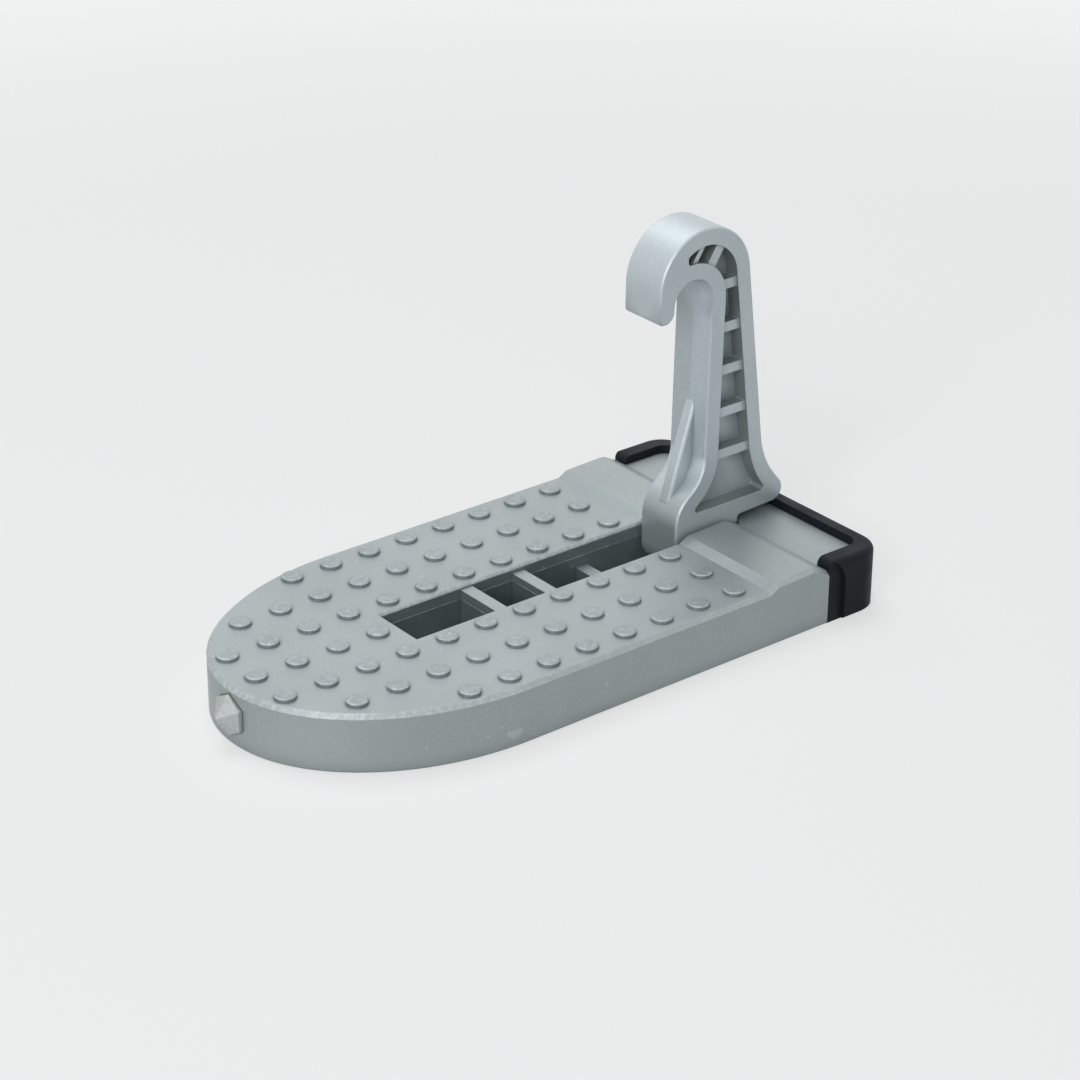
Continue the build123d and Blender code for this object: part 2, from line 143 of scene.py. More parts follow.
class StageSettings(bpy.types.PropertyGroup):
    """Floor, light and camera."""

    floor_colour: colour_setting(
        "Floor colour", "Colour of the floor round the step", (0.93, 0.935, 0.935)
    )
    backdrop_colour: colour_setting(
        "Backdrop colour",
        "Colour of what is seen beyond the floor round the step",
        (0.96, 0.965, 0.965),
    )
    floor_width: length_setting("Floor width", "Width of the square floor", 12.0, 1.0, 100.0)
    floor_bounce: share_setting(
        "Floor bounce", "Share of the floor's colour in the light that it throws back", 0.22
    )
    floor_paleness: share_setting(
        "Floor paleness", "Share of the backdrop's plain colour in the floor round the step", 0.6
    )
    sky_strength: bpy.props.FloatProperty(
        name="Sky strength",
        description="Strength of the even light from all round",
        min=0.0,
        default=0.13,
    )
    camera_place: bpy.props.FloatVectorProperty(
        name="Camera place",
        description="Where the camera stands",
        subtype="TRANSLATION",
        unit="LENGTH",
        size=3,
        default=(-0.358288, -0.459854, 0.316282),
    )
    camera_turn: bpy.props.FloatVectorProperty(
        name="Camera turn",
        description="How the camera is turned",
        subtype="EULER",
        unit="ROTATION",
        size=3,
        default=(math.radians(63.4069), math.radians(-0.2456), math.radians(-38.4163)),
    )
    camera_lens: bpy.props.FloatProperty(
        name="Camera lens",
        description="Focal length in millimetres on a sensor 36 mm wide",
        min=10.0,
        default=101.4,
    )


# Node tools, and how many samples the nodes that look round them take
EDGE_SAMPLES = 4
SOFT_SAMPLES = 3
OPENNESS_SAMPLES = 5


def place(tree, kind, inputs=None, **settings):
    """A new node with its settings, and its inputs as plain values or as links."""
    node = tree.nodes.new(kind)
    for name, value in settings.items():
        setattr(node, name, value)
    fill(tree, node, inputs or {})
    return node


def fill(tree, node, inputs):
    """Sets a node's inputs by plain values, or links them."""
    for key, value in inputs.items():
        if isinstance(value, bpy.types.NodeSocket):
            tree.links.new(value, node.inputs[key])
        else:
            node.inputs[key].default_value = value


def calculate(tree, operation, *values):
    """The result of one Math node."""
    return place(tree, "ShaderNodeMath", dict(enumerate(values)), operation=operation).outputs[0]


def times(tree, first, *others):
    """The product of all values, such as a mask cut by other masks."""
    result = first
    for value in others:
        result = calculate(tree, "MULTIPLY", result, value)
    return result


def most(tree, first, *others):
    """The largest of all values, such as masks laid over each other."""
    result = first
    for value in others:
        result = calculate(tree, "MAXIMUM", result, value)
    return result


def above(tree, value, limit):
    """1 where a value is above a limit, otherwise 0."""
    return calculate(tree, "GREATER_THAN", value, limit)


def below(tree, value, limit):
    """1 where a value is below a limit, otherwise 0."""
    return calculate(tree, "LESS_THAN", value, limit)


def size_of(tree, value):
    """A value without its sign."""
    return calculate(tree, "ABSOLUTE", value)


def distance(tree, value, centre):
    """How far a value lies from another."""
    return size_of(tree, calculate(tree, "SUBTRACT", value, centre))


def ramp(tree, value, low, high, start=0.0, end=1.0):
    """A smooth step of a value between two limits, from start to end."""
    inputs = {"Value": value, "From Min": low, "From Max": high, "To Min": start, "To Max": end}
    node = place(tree, "ShaderNodeMapRange", inputs, interpolation_type="SMOOTHSTEP", clamp=True)
    return node.outputs["Result"]


def noise(tree, where, scale, detail, roughness):
    """Smooth noise, with its scale in waves per unit of the place that it is given."""
    inputs = {"Vector": where, "Scale": scale, "Detail": detail, "Roughness": roughness}
    return place(tree, "ShaderNodeTexNoise", inputs).outputs["Fac"]


def blend_colours(tree, share, first, second):
    """Two colours blended by a share."""
    node = tree.nodes.new("ShaderNodeMix")
    node.data_type = "RGBA"
    fill(tree, node, {0: share, 6: first, 7: second})
    return node.outputs[2]


def rgba(colour, factor=1.0):
    """A colour made lighter or darker by a factor, with its alpha."""
    return (*(min(1.0, factor * part) for part in colour), 1.0)


def openness(tree, reach):
    """1 in the open, and less the more the surface is shut in within the reach."""
    inputs = {"Distance": reach}
    node = place(tree, "ShaderNodeAmbientOcclusion", inputs, samples=OPENNESS_SAMPLES)
    return node.outputs["AO"]


def ray_is(tree, *kinds):
    """1 where the surface is seen by a ray of one of the given kinds, otherwise 0."""
    path = tree.nodes.new("ShaderNodeLightPath")
    return most(tree, *(path.outputs[kind] for kind in kinds))


def mixed_shaders(tree, share, first, second):
    """Two shaders mixed by a share."""
    mix = place(tree, "ShaderNodeMixShader", {0: share, 1: first, 2: second})
    return mix.outputs["Shader"]


def effect_group(name, inputs, outputs):
    """A new shader node group with its sockets; returns its tree, input node and output node."""
    tree = bpy.data.node_groups.new(name, "ShaderNodeTree")
    for label, kind, value in inputs:
        socket = tree.interface.new_socket(name=label, in_out="INPUT", socket_type=kind)
        if value is not None:
            socket.default_value = value
    for label in outputs:
        tree.interface.new_socket(name=label, in_out="OUTPUT", socket_type="NodeSocketFloat")
    return tree, tree.nodes.new("NodeGroupInput"), tree.nodes.new("NodeGroupOutput")


def effect(tree, name, inputs):
    """The outputs of a shared effect, placed in a material with its own values."""
    node = tree.nodes.new("ShaderNodeGroup")
    node.node_tree = bpy.data.node_groups[name]
    fill(tree, node, inputs)
    return node.outputs


# Shared effects

# Detail and roughness of each layer of noise
FINE_NOISE = (2.0, 0.6)
COARSE_NOISE = (2.0, 0.5)
CLOUD_NOISE = (5.0, 0.6)
PATCH_NOISE = (4.0, 0.75)
SMUDGE_NOISE = (3.0, 0.5)

# Blasted grain: densities in waves per metre, and the share of each layer in height and mottling.
# The coarse dimples take their density as a share of that of the fine ones.
FINE_DENSITY = 2400.0
COARSE_DENSITY = 0.22
FINE_HEIGHT = 0.65
COARSE_HEIGHT = 0.6
CLOUD_DENSITY = 60.0
CLOUD_MOTTLE = 0.4
FINE_MOTTLE = 0.6
PATCH_DENSITY = 700.0

# Bright specks: how dense, how wide and how rare they are, and how far a rubbed edge changes that
SPECK_DENSITY = 620.0
SPECK_WIDTH = 0.15
SPECK_WIDENING = 0.24
SPECK_RARITY = 0.94
SPECK_CROWDING = -0.45

# Smudges: usual density in waves per metre, and where the noise starts and ends turning to one
SMUDGE_DENSITY = 60.0
SMUDGE_SPAN = (0.35, 0.7)


def build_blasted_grain():
    """Dimples, mottling, worn patches and bright specks of a blasted casting."""
    tree, given, made = effect_group(
        "blasted_grain",
        (
            ("Place", "NodeSocketVector", None),
            ("Density", "NodeSocketFloat", FINE_DENSITY),
            ("Rubbed", "NodeSocketFloat", 0.0),
        ),
        ("Height", "Mottle", "Patch", "Speck"),
    )
    where = given.outputs["Place"]
    density = given.outputs["Density"]
    rubbed = given.outputs["Rubbed"]
    fine = noise(tree, where, density, *FINE_NOISE)
    coarse = noise(tree, where, times(tree, density, COARSE_DENSITY), *COARSE_NOISE)
    cloud = noise(tree, where, CLOUD_DENSITY, *CLOUD_NOISE)
    height = calculate(
        tree, "ADD", times(tree, fine, FINE_HEIGHT), times(tree, coarse, COARSE_HEIGHT)
    )
    mottle = calculate(
        tree, "ADD", times(tree, cloud, CLOUD_MOTTLE), times(tree, fine, FINE_MOTTLE)
    )
    dots = place(tree, "ShaderNodeTexVoronoi", {"Vector": where, "Scale": SPECK_DENSITY}).outputs
    lot = place(tree, "ShaderNodeSeparateColor", {"Color": dots["Color"]}).outputs["Red"]
    width = calculate(tree, "MULTIPLY_ADD", rubbed, SPECK_WIDENING, SPECK_WIDTH)
    rarity = calculate(tree, "MULTIPLY_ADD", rubbed, SPECK_CROWDING, SPECK_RARITY)
    speck = times(tree, below(tree, dots["Distance"], width), above(tree, lot, rarity))
    patch = noise(tree, where, PATCH_DENSITY, *PATCH_NOISE)
    fill(tree, made, {"Height": height, "Mottle": mottle, "Patch": patch, "Speck": speck})


def build_slope_band():
    """Marks the faces whose slope lies near a given one, such as a chamfer."""
    tree, given, made = effect_group(
        "slope_band",
        (
            ("Slope", "NodeSocketFloat", 0.0),
            ("Centre", "NodeSocketFloat", 0.0),
            ("Spread", "NodeSocketFloat", 0.0),
        ),
        ("Mask",),
    )
    away = distance(tree, given.outputs["Slope"], given.outputs["Centre"])
    fill(tree, made, {"Mask": below(tree, away, given.outputs["Spread"])})


def build_smudges():
    """Soft smudges left by use."""
    tree, given, made = effect_group(
        "smudges",
        (
            ("Place", "NodeSocketVector", None),
            ("Density", "NodeSocketFloat", SMUDGE_DENSITY),
        ),
        ("Smudge",),
    )
    soft = noise(tree, given.outputs["Place"], given.outputs["Density"], *SMUDGE_NOISE)
    fill(tree, made, {"Smudge": ramp(tree, soft, *SMUDGE_SPAN)})


SHARED_EFFECTS = (
    ("blasted_grain", build_blasted_grain),
    ("slope_band", build_slope_band),
    ("smudges", build_smudges),
)


def shared_effects():
    """Builds each shared effect once."""
    for name, build in SHARED_EFFECTS:
        if name not in bpy.data.node_groups:
            build()


# Materials


def new_material(name):
    """An empty node material, its tree and its Principled BSDF."""
    material = bpy.data.materials.new(name)
    material.use_nodes = True
    tree = material.node_tree
    tree.nodes.clear()
    surface = tree.nodes.new("ShaderNodeBsdfPrincipled")
    output = tree.nodes.new("ShaderNodeOutputMaterial")
    tree.links.new(surface.outputs["BSDF"], output.inputs["Surface"])
    return material, tree, surface


def object_axes(tree):
    """Object coordinates, their X, Y and Z, and the X, Y and Z of the object's own normal."""
    where = tree.nodes.new("ShaderNodeTexCoord").outputs
    spot = place(tree, "ShaderNodeSeparateXYZ", {0: where["Object"]}).outputs
    facing = place(tree, "ShaderNodeSeparateXYZ", {0: where["Normal"]}).outputs
    return where["Object"], spot, facing


def smudged_roughness(tree, where, density, span):
    """Roughness that goes from the first to the second value of a span where it is smudged."""
    smudge = effect(tree, "smudges", {"Place": where, "Density": density})["Smudge"]
    return ramp(tree, smudge, 0.0, 1.0, *span)


def soften(tree, surface, radius, relief):
    """Softens a surface's edges and gives it its relief, whose heights are real ones."""
    soft = place(tree, "ShaderNodeBevel", {"Radius": radius}, samples=SOFT_SAMPLES)
    inputs = {"Strength": 1.0, "Distance": 1.0, "Height": relief, "Normal": soft.outputs["Normal"]}
    bump = place(tree, "ShaderNodeBump", inputs)
    tree.links.new(bump.outputs["Normal"], surface.inputs["Normal"])


# Castings: how well a rounded normal agrees with the surface's own at an edge and just off it
EDGE_AGREEMENT = (0.88, 0.98)

# Openness of outward edges, of corners that get grime and painted shade, and of hollows that get
# painted shade
EDGE_OPENNESS = (0.8, 0.96)
GRIME_AND_SHADE_OPENNESS = (0.4, 0.97)
HOLLOW_OPENNESS = (0.3, 0.9)
PLATFORM_GRIME_AND_SHADE = 0.5
ARM_GRIME_AND_SHADE = 0.2

# How bare the metal is along outward edges, how strong the painted highlight is along the seams
# inside the arm's pocket, and the near-white colour of that highlight and of the mould mark's
# lighter half
EDGE_RUB = 0.8
SEAM_HIGHLIGHT = 0.8
HIGHLIGHT_COLOUR = (0.93, 0.97, 0.98, 1.0)

# Rubbed metal: the noise that breaks it up, its share outside and inside the patches, and the
# share of bare metal in a stray speck
PATCH_SPAN = (0.46, 0.6)
PATCH_BASE = 0.15
PATCH_GAIN = 0.75
SPECK_BARE = 0.45

# Body of the castings
MOTTLE_SPAN = (0.34, 0.66)
MOTTLE_DARK = 0.92
MOTTLE_LIGHT = 1.05
CAST_SMUDGES = 55.0
CAST_ROUGHNESS = (0.42, 0.52)
BARE_POLISH = 0.16
CAST_METALLIC = 0.45

# Limits for the part of a face's normal that points along an axis
UPRIGHT = 0.2
FLAT = 0.9
SIDEWAYS = 0.9

# Platform: places and sizes
TREAD_Z = 0.0134
STUD_TOP_Z = 0.01425
RAMP_START_X = 0.0418
SLOT_START_X = -0.0302
SLOT_END_X = 0.0655
SLOT_HALF_WIDTH = 0.00675
SLOT_EDGE = 0.0008
SLOT_EDGE_FADE = 0.7
PARTING_Z = 0.0101
PARTING_HALF_WIDTH = 0.00012
MOULD_MARK_X = -0.0275
MOULD_MARK_Z = 0.0041
MOULD_MARK_RADIUS = 0.002
MOULD_MARK_LINE = 0.00016
MOULD_MARK_DEPTH = 0.3 * MOULD_MARK_LINE
NOSE_RUB_X = -0.05
NOSE_RUB_END_X = -0.01

# Platform: slopes of the rim's chamfer and of the ramp
RIM_SLOPE = math.sqrt(0.5)
RIM_SPREAD = 0.08
RAMP_FACING = (-0.45, -0.3)
RAMP_UPWARD = 0.8

# Platform: how rubbed each form is, the painted highlight along the slot's lip, and how much
# lighter the mould mark's lower half is
NOSE_RIM_RUB = 0.45
SIDE_RIM_RUB = 0.15
PARTING_RUB = 1.6
STUD_TOP_RUB = 0.26
SLOT_LIP_HIGHLIGHT = 0.35
MOULD_MARK_SHINE = 0.2

# Platform: share of the painted shade colour on each form
UPPER_WALL_SHADE = 0.8
STUD_FOOT_SHADE = 0.2
STUD_TOP_SHADE = 0.26
RAMP_SHADE = 0.35
HOLLOW_SHADE = 0.6

# Arm: places and sizes
POCKET_X = 0.0525
POCKET_TOP_Z = 0.08
SHANK_FOOT_Z = 0.024
SHANK_LOW_Z = 0.032
RIB_HALF_WIDTH = 0.00165
RIB_TOP_Z = 0.0437
FOOT_SHADE_LOW_Z = 0.012
FOOT_SHADE_HIGH_Z = 0.034
THROAT_LOW_Z = 0.064
THROAT_HIGH_Z = 0.0725
FRONT_DRAFT = 0.33

# Arm: slopes of its side edges, front, foot, inner walls, pocket's back wall and ledges
SIDE_EDGE_SLOPE = 0.6
SIDE_EDGE_SPREAD = 0.32
FRONT_FACING = -0.5
FOOT_FACING = (-0.9, -0.4)
INNER_FACING = (-0.8, -0.3)
BACK_WALL_FACING = (-0.7, -0.4)
LEDGE_FACING = (0.8, 0.9)

# Arm: how rubbed it is, and its shares of the painted shade colour
SIDE_EDGE_RUB = 0.3
DRAFT_LINE_RUB = 0.4
FOOT_FRONT_SHADE = 0.7
FOOT_SIDE_SHADE = 0.25
INNER_SIDE_SHADE = 0.5
LEDGE_SHADE = 0.9


def rub_edges(tree, rubbed, grain):
    """Where bare metal shows, and the painted highlight along the platform's slot lip: rubbed edges
    broken up by the grain, and stray specks.
    """
    broken = ramp(tree, grain["Patch"], *PATCH_SPAN)
    share = calculate(tree, "MULTIPLY_ADD", broken, PATCH_GAIN, PATCH_BASE)
    return most(tree, times(tree, rubbed, share), times(tree, grain["Speck"], SPECK_BARE))


def edge_lines(tree, reach, open_share):
    """Outward and inward edges, where a rounded normal turns away from the surface's own."""
    rounded = place(tree, "ShaderNodeBevel", {"Radius": reach}, samples=EDGE_SAMPLES)
    own = tree.nodes.new("ShaderNodeNewGeometry")
    normals = {0: rounded.outputs["Normal"], 1: own.outputs["Normal"]}
    agreement = place(tree, "ShaderNodeVectorMath", normals, operation="DOT_PRODUCT")
    turned = ramp(tree, agreement.outputs["Value"], *EDGE_AGREEMENT, 1.0, 0.0)
    outward = times(tree, turned, ramp(tree, open_share, *EDGE_OPENNESS))
    return outward, calculate(tree, "SUBTRACT", turned, outward)


def casting_material(name, colour, shade_colour, edge, grime_and_shade_share, settings, marks):
    """Blasted light alloy, with grime and painted shade in its corners. The marks function gives
    what is special to one casting: how rubbed it is, the height of its ridges, its share of painted
    shade, and its painted highlights and lighter marks."""
    material, tree, surface = new_material(name)
    where, spot, facing = object_axes(tree)
    corner = openness(tree, settings.corner_reach)
    # Painted shade in hollows: the more shut in the surface is, the more shade the marks may lay on
    # it
    hollow = ramp(tree, openness(tree, settings.hollow_shade_reach), *HOLLOW_OPENNESS, 1.0, 0.0)
    outward, inward = edge_lines(tree, settings.edge_line, corner)
    face = SimpleNamespace(spot=spot, facing=facing, hollow=hollow, inward=inward)
    rubbed, ridge, shade, shine = marks(tree, face)
    rubbed = most(tree, rubbed, times(tree, outward, EDGE_RUB))
    grain = effect(
        tree,
        "blasted_grain",
        {"Place": where, "Density": 1.0 / settings.grain_size, "Rubbed": rubbed},
    )
    bare = rub_edges(tree, rubbed, grain)
    # Grime with painted shade where the surface is shut in
    grime_and_shade = ramp(tree, corner, *GRIME_AND_SHADE_OPENNESS, grime_and_shade_share, 0.0)
    mottle = ramp(tree, grain["Mottle"], *MOTTLE_SPAN)
    skin = blend_colours(tree, mottle, rgba(colour, MOTTLE_DARK), rgba(colour, MOTTLE_LIGHT))
    # Painted shade: the darker shade colour is laid wherever the marks put shade
    skin = blend_colours(tree, shade, skin, rgba(shade_colour))
    # Nick colour on rubbed edges and specks, and as a painted highlight along the slot's lip
    skin = blend_colours(tree, bare, skin, rgba(settings.nick_colour))
    # Grime and painted shade in tight corners
    skin = blend_colours(tree, grime_and_shade, skin, rgba(settings.grime_and_shade_colour))
    # Painted highlights along the arm's pocket seams, and the lighter lower half of the platform's
    # mould mark
    skin = blend_colours(tree, shine, skin, HIGHLIGHT_COLOUR)
    rough = smudged_roughness(tree, where, CAST_SMUDGES, CAST_ROUGHNESS)
    rough = calculate(tree, "SUBTRACT", rough, times(tree, bare, BARE_POLISH))
    fill(tree, surface, {"Base Color": skin, "Roughness": rough, "Metallic": CAST_METALLIC})
    relief = calculate(tree, "MULTIPLY_ADD", grain["Height"], settings.grain_depth, ridge)
    soften(tree, surface, edge, relief)
    return material


def mould_mark(tree, spot, facing):
    """A round mark on the platform's near side: its outline and its lower half."""
    along = calculate(tree, "SUBTRACT", spot["X"], MOULD_MARK_X)
    up = calculate(tree, "SUBTRACT", spot["Z"], MOULD_MARK_Z)
    square = calculate(
        tree, "ADD", calculate(tree, "POWER", along, 2.0), calculate(tree, "POWER", up, 2.0)
    )
    radius = calculate(tree, "SQRT", square)
    near_side = below(tree, facing["Y"], -SIDEWAYS)
    off_ring = distance(tree, radius, MOULD_MARK_RADIUS)
    ring = ramp(tree, off_ring, 0.0, MOULD_MARK_LINE, 1.0, 0.0)
    disc = below(tree, radius, MOULD_MARK_RADIUS)
    return times(tree, ring, near_side), times(tree, disc, below(tree, up, 0.0), near_side)


def platform_marks(tree, face):
    """Rubbed rim and stud tops, painted shade on the slot walls, the studs' walls and tops, the
    ramp and hollows, a painted highlight along the slot's lip, a parting line and a round mould
    mark.
    """
    spot, facing = face.spot, face.facing
    across = size_of(tree, spot["Y"])
    upright = below(tree, size_of(tree, facing["Z"]), UPRIGHT)
    behind_front = above(tree, spot["X"], SLOT_START_X)
    in_slot = below(tree, across, SLOT_HALF_WIDTH + PARTING_HALF_WIDTH)
    slot_wall = times(tree, in_slot, behind_front, upright)
    on_tread = below(tree, spot["X"], RAMP_START_X)
    stud_top = times(tree, above(tree, spot["Z"], STUD_TOP_Z), on_tread)
    edge_z = TREAD_Z - SLOT_EDGE

    off_line = distance(tree, spot["Z"], PARTING_Z)
    line = times(tree, ramp(tree, off_line, 0.0, PARTING_HALF_WIDTH, 1.0, 0.0), slot_wall)
    ring, lower_half = mould_mark(tree, spot, facing)
    over_edge = most(tree, calculate(tree, "SUBTRACT", spot["Z"], edge_z), 0.0)
    ridge = calculate(
        tree, "SUBTRACT", times(tree, line, PARTING_HALF_WIDTH), times(tree, ring, MOULD_MARK_DEPTH)
    )
    ridge = calculate(tree, "SUBTRACT", ridge, times(tree, over_edge, slot_wall))

    rim = effect(
        tree, "slope_band", {"Slope": facing["Z"], "Centre": RIM_SLOPE, "Spread": RIM_SPREAD}
    )
    rim_rub = ramp(tree, spot["X"], NOSE_RUB_X, NOSE_RUB_END_X, NOSE_RIM_RUB, SIDE_RIM_RUB)
    # Painted highlight: a light strip along the top of the slot's walls, where a rounded edge would
    # catch the light
    lip = times(
        tree,
        below(tree, across, SLOT_HALF_WIDTH + SLOT_EDGE),
        above(tree, spot["Z"], edge_z),
        below(tree, facing["Z"], FLAT),
        behind_front,
    )
    rubbed = most(
        tree,
        times(tree, rim["Mask"], rim_rub),
        times(tree, line, PARTING_RUB),
        times(tree, stud_top, STUD_TOP_RUB),
        times(tree, lip, SLOT_LIP_HIGHLIGHT),
    )

    # Painted shade on the slot walls, the studs' walls and tops, the hollows and the ramp's face
    below_edge = ramp(tree, spot["Z"], edge_z, TREAD_Z - SLOT_EDGE_FADE * SLOT_EDGE, 1.0, 0.0)
    over_line = PARTING_Z + PARTING_HALF_WIDTH
    wall_shade = ramp(tree, spot["Z"], PARTING_Z, over_line, 1.0, UPPER_WALL_SHADE)
    stud_wall = times(tree, above(tree, spot["Z"], TREAD_Z + PARTING_HALF_WIDTH), upright, on_tread)
    stud_shade = ramp(tree, spot["Z"], TREAD_Z, STUD_TOP_Z, STUD_FOOT_SHADE, 1.0)
    ramp_face = ramp(tree, facing["X"], *RAMP_FACING, RAMP_SHADE, 0.0)
    shade = most(
        tree,
        times(tree, slot_wall, below_edge, wall_shade),
        times(tree, stud_wall, stud_shade),
        times(tree, stud_top, STUD_TOP_SHADE),
        times(tree, face.hollow, HOLLOW_SHADE),
        times(tree, ramp_face, above(tree, facing["Z"], RAMP_UPWARD)),
    )
    return rubbed, ridge, shade, times(tree, lower_half, MOULD_MARK_SHINE)


def arm_marks(tree, face):
    """Rubbed side edges, painted shade on the foot and in the pocket, a painted highlight along the
    pocket's seams, and the draft's soft ridge down the front.
    """
    spot, facing = face.spot, face.facing
    off_middle = size_of(tree, spot["Y"])
    in_pocket = above(tree, spot["X"], POCKET_X)
    on_shank = times(
        tree,
        below(tree, facing["X"], FRONT_FACING),
        ramp(tree, spot["Z"], THROAT_LOW_Z, THROAT_HIGH_Z, 1.0, 0.0),
        ramp(tree, spot["Z"], SHANK_FOOT_Z, SHANK_LOW_Z),
        most(tree, above(tree, off_middle, RIB_HALF_WIDTH), above(tree, spot["Z"], RIB_TOP_Z)),
    )
    ridge = times(tree, off_middle, -FRONT_DRAFT, on_shank)

    slope = {
        "Slope": size_of(tree, facing["Y"]),
        "Centre": SIDE_EDGE_SLOPE,
        "Spread": SIDE_EDGE_SPREAD,
    }
    side_edge = effect(tree, "slope_band", slope)["Mask"]
    line = ramp(tree, off_middle, 0.0, PARTING_HALF_WIDTH, 1.0, 0.0)
    rubbed = most(
        tree, times(tree, side_edge, SIDE_EDGE_RUB), times(tree, line, on_shank, DRAFT_LINE_RUB)
    )

    # Painted shade on the foot's front, the inner walls, the pocket's back wall and its ledges
    low = ramp(tree, spot["Z"], FOOT_SHADE_LOW_Z, FOOT_SHADE_HIGH_Z, 1.0, 0.0)
    foot_shade = ramp(tree, facing["X"], *FOOT_FACING, FOOT_FRONT_SHADE, FOOT_SIDE_SHADE)
    inner_shade = ramp(tree, facing["X"], *INNER_FACING, 1.0, INNER_SIDE_SHADE)
    back_wall = times(tree, ramp(tree, facing["X"], *BACK_WALL_FACING, 1.0, 0.0), in_pocket)
    ledge = ramp(tree, facing["Z"], *LEDGE_FACING, 0.0, LEDGE_SHADE)
    shade = most(
        tree,
        times(tree, low, foot_shade),
        times(tree, face.hollow, inner_shade),
        times(tree, below(tree, spot["Z"], POCKET_TOP_Z), most(tree, back_wall, ledge)),
    )
    # Painted highlight along the inward seams inside the pocket
    return rubbed, ridge, shade, times(tree, face.inward, in_pocket, SEAM_HIGHLIGHT)


# Rubber
RUBBER_GRAIN = 1700.0
RUBBER_SMUDGES = 80.0
RUBBER_UPWARD = (0.35, 0.95)
# Dust and painted sheen on the rubber's upper faces
DUST_AND_SHEEN_GAIN = 0.6
DUST_AND_SHEEN_BASE = 0.45
RUBBER_SPECK_PALENESS = 2.2
RUBBER_SPECK_SHARE = 0.35
RUBBER_ROUGHNESS = (0.46, 0.6)
RUBBER_GLOSS = 0.16
RUBBER_EDGE = 0.0003
RUBBER_RELIEF = 0.000012


def rubber_material(settings):
    """Dull dark rubber, greyer on its upper faces with dust and a painted sheen."""
    material, tree, surface = new_material("buffer_rubber_finish")
    where, _, facing = object_axes(tree)
    grain = effect(tree, "blasted_grain", {"Place": where, "Density": RUBBER_GRAIN})
    cloudy = calculate(tree, "MULTIPLY_ADD", grain["Mottle"], DUST_AND_SHEEN_GAIN, DUST_AND_SHEEN_BASE)
    # Dust and painted sheen on faces that point up
    dust_and_sheen = times(tree, ramp(tree, facing["Z"], *RUBBER_UPWARD), cloudy)
    skin = blend_colours(tree, dust_and_sheen, rgba(settings.rubber_colour), rgba(settings.dust_and_sheen_colour))
    pale = rgba(settings.dust_and_sheen_colour, RUBBER_SPECK_PALENESS)
    skin = blend_colours(tree, times(tree, grain["Speck"], RUBBER_SPECK_SHARE), skin, pale)
    rough = smudged_roughness(tree, where, RUBBER_SMUDGES, RUBBER_ROUGHNESS)
    fill(
        tree,
        surface,
        {"Base Color": skin, "Roughness": rough, "Specular IOR Level": RUBBER_GLOSS},
    )
    soften(tree, surface, RUBBER_EDGE, times(tree, grain["Height"], RUBBER_RELIEF))
    return material


# Steel: its fine lines lie close along one axis and run round it, X on the breaker and Y on the pin
BREAKER_STRETCH = (900.0, 60.0, 60.0)
PIN_STRETCH = (30.0, 900.0, 30.0)
STEEL_LINES = 12.0
STEEL_NOISE = (2.0, 0.5)
STEEL_LINE_SPAN = (0.3, 0.7)
STEEL_DULL = 0.9
STEEL_BRIGHT = 1.1
STEEL_CORNER = 0.0008
# Painted shade: the steel turns near black in tight corners and in the gap round its base
STEEL_GAP_SHADE_OPENNESS = (0.3, 0.9)
STEEL_GAP_SHADE_SHARE = 0.85
STEEL_GAP_SHADE = (0.02, 0.025, 0.03, 1.0)
STEEL_SMUDGES = 260.0
STEEL_ROUGHNESS = (0.42, 0.55)
STEEL_METALLIC = 0.85
STEEL_EDGE = 0.00025
STEEL_RELIEF = 0.000006


def steel_material(name, settings, stretch):
    """Bright steel with fine lines, which lie closest along the axis that is stretched most."""
    material, tree, surface = new_material(name)
    where = tree.nodes.new("ShaderNodeTexCoord").outputs["Object"]
    mapped = place(tree, "ShaderNodeMapping", {"Vector": where, "Scale": stretch})
    lines = noise(tree, mapped.outputs["Vector"], STEEL_LINES, *STEEL_NOISE)
    colour = settings.steel_colour
    share = ramp(tree, lines, *STEEL_LINE_SPAN)
    skin = blend_colours(tree, share, rgba(colour, STEEL_DULL), rgba(colour, STEEL_BRIGHT))
    corner = openness(tree, STEEL_CORNER)
    # Painted shade in corners and in the gap round the steel's base
    grime_and_shade = ramp(tree, corner, *STEEL_GAP_SHADE_OPENNESS, STEEL_GAP_SHADE_SHARE, 0.0)
    skin = blend_colours(tree, grime_and_shade, skin, STEEL_GAP_SHADE)
    rough = smudged_roughness(tree, where, STEEL_SMUDGES, STEEL_ROUGHNESS)
    fill(tree, surface, {"Base Color": skin, "Roughness": rough, "Metallic": STEEL_METALLIC})
    soften(tree, surface, STEEL_EDGE, times(tree, lines, STEEL_RELIEF))
    return material


def dress(name, material):
    """Puts a material on every slot of a solid of the frame."""
    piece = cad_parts.get(name)
    if piece is None:
        raise RuntimeError("The frame has no piece named " + name)
    for slot in piece.material_slots:
        slot.material = material


# Stage: how far out the floor starts and ends running into the backdrop, its depth and finish
FLOOR_NEAR = 0.28
FLOOR_FAR = 0.75
FLOOR_Z = -0.00005
FLOOR_ROUGHNESS = 0.9
FLOOR_GLOSS = 0.1

# Colour of the even light, and the camera's sensor width in millimetres and nearest reach
SKY_COLOUR = (0.78, 0.95, 1.0, 1.0)
SENSOR_WIDTH = 36.0
NEAREST = 0.01

# Soft boxes: name, place, what they point at, width, height and power in watts
SOFT_BOXES = (
    ("key_light", (-1.04, -0.68, 0.72), (0.0, 0.0, 0.03), 0.7, 0.7, 9.6),
    ("top_light", (0.1, 0.5, 1.45), (0.0, 0.0, 0.0), 1.0, 0.9, 9.2),
)


